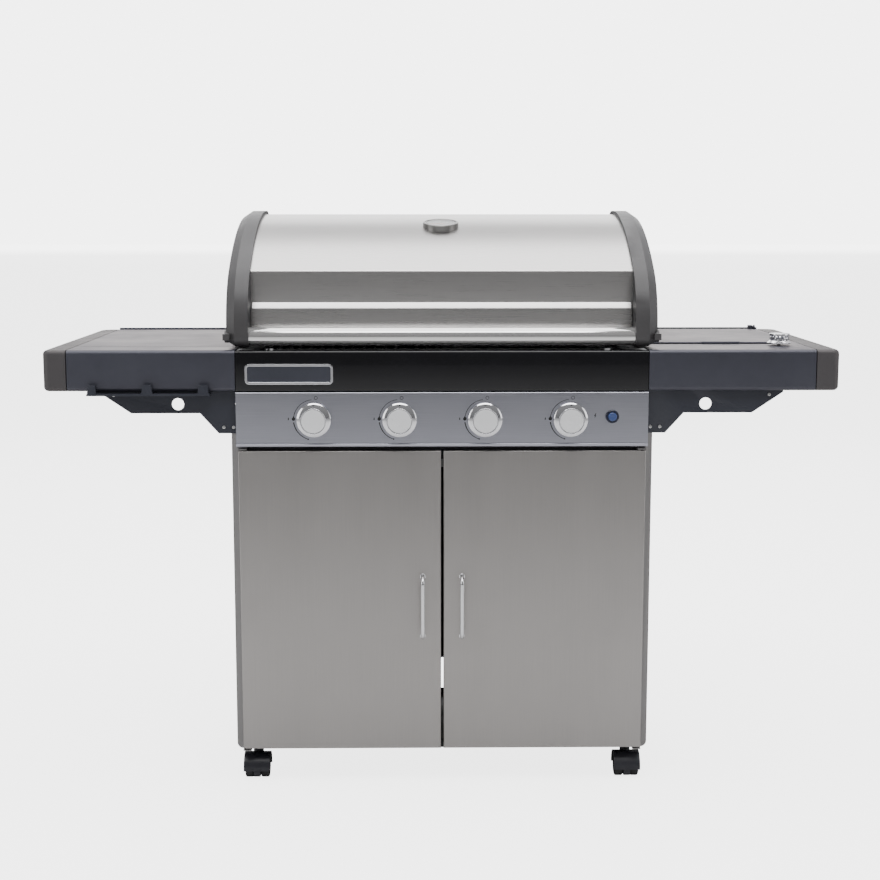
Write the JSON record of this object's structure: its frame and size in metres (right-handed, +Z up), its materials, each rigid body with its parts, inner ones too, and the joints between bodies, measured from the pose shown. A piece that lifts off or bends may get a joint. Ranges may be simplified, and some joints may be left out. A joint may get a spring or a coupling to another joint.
{
  "type": "gas barbecue grill",
  "caption": "Gas barbecue grill with hinged domed hood, burner knobs, side tables, side burner under a lid, and a cabinet with double doors on twin-wheel casters.",
  "frame": {"origin": "on the ground, at the middle of the footprint box", "axes": "+X right, +Y to the back, +Z up; the front faces -Y"},
  "size_m": [1.6398, 0.62, 1.206],
  "materials": {
    "hood_steel": "satin, horizontally brushed",
    "door_steel": "satin, vertically brushed",
    "panel_steel": "satin",
    "cap_cast": "painted grey casting",
    "handle_steel": "polished",
    "cart_paint": "satin grey",
    "inner_paint": "matt dark",
    "fascia_gloss": "gloss black enamel",
    "table_paint": "satin slate",
    "cap_plastic": "fine texture",
    "bracket_paint": "satin dark",
    "enamel": "vitreous enamel",
    "cast": "matt",
    "wire_chrome": "bright",
    "knob_chrome": "bright",
    "button_blue": "semi gloss",
    "igniter_plastic": "semi gloss",
    "brass_part": "machined",
    "burner_steel": "dull",
    "dial_glass": "clear",
    "needle_red": "matt",
    "gauge_steel": "polished rim",
    "caster_plastic": "moulded",
    "tread": "hard rubber",
    "zinc": "zinc plated",
    "galvanised": "zinc coated sheet"
  },
  "bodies": {
    "cart": {"left_side_panel": "cart_paint", "right_side_panel": "cart_paint", "base_shelf": "inner_paint", "rear_panel": "inner_paint", "front_rail": "inner_paint", "firebox": "enamel", "front_fascia": "fascia_gloss", "control_panel": "panel_steel", "gas_manifold": "zinc", "gas_valves": "brass_part", "burner_tubes": "burner_steel", "flame_tamers": "burner_steel", "cooking_grate": "cast", "griddle_plate": "cast", "warming_rack": "wire_chrome", "left_table_top": "table_paint", "right_table_top": "table_paint", "left_table_end_cap": "cap_plastic", "right_table_end_cap": "cap_plastic", "table_brackets": "bracket_paint", "tool_rail": "bracket_paint", "side_burner_bowl": "burner_steel", "side_burner_head": "brass_part", "side_burner_cap": "cast", "pan_support": "cast", "igniter_body": "igniter_plastic", "caster_plates": "zinc", "hood_hinge_pins": "zinc"},
    "hood": {"hood_shell": "hood_steel", "hood_end_cap_left": "cap_cast", "hood_end_cap_right": "cap_cast", "hood_handle": "handle_steel", "thermometer_case": "gauge_steel", "thermometer_glass": "dial_glass"},
    "needle": {"thermometer_needle": "needle_red"},
    "stem_1": {"valve_stem_1": "zinc"},
    "knob_1": {"burner_knob_1": "knob_chrome"},
    "stem_2": {"valve_stem_2": "zinc"},
    "knob_2": {"burner_knob_2": "knob_chrome"},
    "stem_3": {"valve_stem_3": "zinc"},
    "knob_3": {"burner_knob_3": "knob_chrome"},
    "stem_4": {"valve_stem_4": "zinc"},
    "knob_4": {"burner_knob_4": "knob_chrome"},
    "igniter_push": {"igniter_button": "button_blue"},
    "door_left": {"left_door": "door_steel", "left_door_handle": "handle_steel"},
    "door_right": {"right_door": "door_steel", "right_door_handle": "handle_steel"},
    "side_lid": {"side_burner_lid": "table_paint"},
    "side_valve_stem": {"side_stem": "zinc"},
    "side_knob": {"side_burner_knob": "knob_chrome"},
    "tray": {"grease_tray": "galvanised"},
    "caster_1": {"caster_body_1": "caster_plastic"},
    "wheels_1": {"caster_wheels_1": "tread"},
    "caster_2": {"caster_body_2": "caster_plastic"},
    "wheels_2": {"caster_wheels_2": "tread"},
    "caster_3": {"caster_body_3": "caster_plastic"},
    "wheels_3": {"caster_wheels_3": "tread"},
    "caster_4": {"caster_body_4": "caster_plastic"},
    "wheels_4": {"caster_wheels_4": "tread"}
  },
  "joints": [
    {"name": "hood_lift", "type": "hinge", "parent": "cart", "child": "hood", "pos_m": [0, 0.258, 0.948], "axis": [-1, 0, 0], "range_deg": [0, 80]},
    {"name": "needle_turn", "type": "hinge", "parent": "hood", "child": "needle", "pos_m": [0, -0.01472, 1.17655], "axis": [0, 0.1908, -0.9816], "range_deg": [0, 250], "stiffness_Nm_per_rad": 0.0003, "springref_deg": -40.11},
    {"name": "stem_1_turn", "type": "hinge", "parent": "cart", "child": "stem_1", "pos_m": [-0.2648, -0.27, 0.779], "axis": [0, -1, 0], "range_deg": [0, 165]},
    {"name": "knob_1_push", "type": "slide", "parent": "stem_1", "child": "knob_1", "axis": [0, 1, 0], "range_m": [0, 0.003], "stiffness_N_per_m": 600, "springref_m": -0.004},
    {"name": "stem_2_turn", "type": "hinge", "parent": "cart", "child": "stem_2", "pos_m": [-0.0883, -0.27, 0.779], "axis": [0, -1, 0], "range_deg": [0, 165]},
    {"name": "knob_2_push", "type": "slide", "parent": "stem_2", "child": "knob_2", "axis": [0, 1, 0], "range_m": [0, 0.003], "stiffness_N_per_m": 600, "springref_m": -0.004},
    {"name": "stem_3_turn", "type": "hinge", "parent": "cart", "child": "stem_3", "pos_m": [0.0883, -0.27, 0.779], "axis": [0, -1, 0], "range_deg": [0, 165]},
    {"name": "knob_3_push", "type": "slide", "parent": "stem_3", "child": "knob_3", "axis": [0, 1, 0], "range_m": [0, 0.003], "stiffness_N_per_m": 600, "springref_m": -0.004},
    {"name": "stem_4_turn", "type": "hinge", "parent": "cart", "child": "stem_4", "pos_m": [0.2648, -0.27, 0.779], "axis": [0, -1, 0], "range_deg": [0, 165]},
    {"name": "knob_4_push", "type": "slide", "parent": "stem_4", "child": "knob_4", "axis": [0, 1, 0], "range_m": [0, 0.003], "stiffness_N_per_m": 600, "springref_m": -0.004},
    {"name": "igniter_press", "type": "slide", "parent": "cart", "child": "igniter_push", "axis": [0, 1, 0], "range_m": [0, 0.004], "stiffness_N_per_m": 400, "springref_m": -0.005},
    {"name": "left_door_swing", "type": "hinge", "parent": "cart", "child": "door_left", "pos_m": [-0.415, -0.2725, 0.394], "axis": [0, 0, -1], "range_deg": [0, 110]},
    {"name": "right_door_swing", "type": "hinge", "parent": "cart", "child": "door_right", "pos_m": [0.415, -0.2725, 0.394], "axis": [0, 0, 1], "range_deg": [0, 110]},
    {"name": "side_lid_lift", "type": "hinge", "parent": "cart", "child": "side_lid", "pos_m": [0.6, 0.26, 0.93], "axis": [-1, 0, 0], "range_deg": [0, 100]},
    {"name": "side_stem_turn", "type": "hinge", "parent": "cart", "child": "side_valve_stem", "pos_m": [0.717, -0.169, 0.91], "axis": [0, 0, 1], "range_deg": [0, 165]},
    {"name": "side_knob_push", "type": "slide", "parent": "side_valve_stem", "child": "side_knob", "axis": [0, 0, -1], "range_m": [0, 0.003], "stiffness_N_per_m": 1000, "springref_m": -0.005},
    {"name": "tray_draw", "type": "slide", "parent": "cart", "child": "tray", "axis": [0, 1, 0], "range_m": [0, 0.3]},
    {"name": "caster_1_swivel", "type": "hinge", "parent": "cart", "child": "caster_1", "pos_m": [-0.396, -0.222, 0.06], "axis": [0, 0, 1], "continuous": true},
    {"name": "wheels_1_roll", "type": "hinge", "parent": "caster_1", "child": "wheels_1", "pos_m": [-0.396, -0.242, 0.025], "axis": [1, 0, 0], "continuous": true},
    {"name": "caster_2_swivel", "type": "hinge", "parent": "cart", "child": "caster_2", "pos_m": [0.396, -0.222, 0.06], "axis": [0, 0, 1], "continuous": true},
    {"name": "wheels_2_roll", "type": "hinge", "parent": "caster_2", "child": "wheels_2", "pos_m": [0.396, -0.242, 0.025], "axis": [1, 0, 0], "continuous": true},
    {"name": "caster_3_swivel", "type": "hinge", "parent": "cart", "child": "caster_3", "pos_m": [-0.396, 0.118, 0.06], "axis": [0, 0, 1], "continuous": true},
    {"name": "wheels_3_roll", "type": "hinge", "parent": "caster_3", "child": "wheels_3", "pos_m": [-0.396, 0.138, 0.025], "axis": [1, 0, 0], "continuous": true},
    {"name": "caster_4_swivel", "type": "hinge", "parent": "cart", "child": "caster_4", "pos_m": [0.396, 0.118, 0.06], "axis": [0, 0, 1], "continuous": true},
    {"name": "wheels_4_roll", "type": "hinge", "parent": "caster_4", "child": "wheels_4", "pos_m": [0.396, 0.138, 0.025], "axis": [1, 0, 0], "continuous": true}
  ]
}
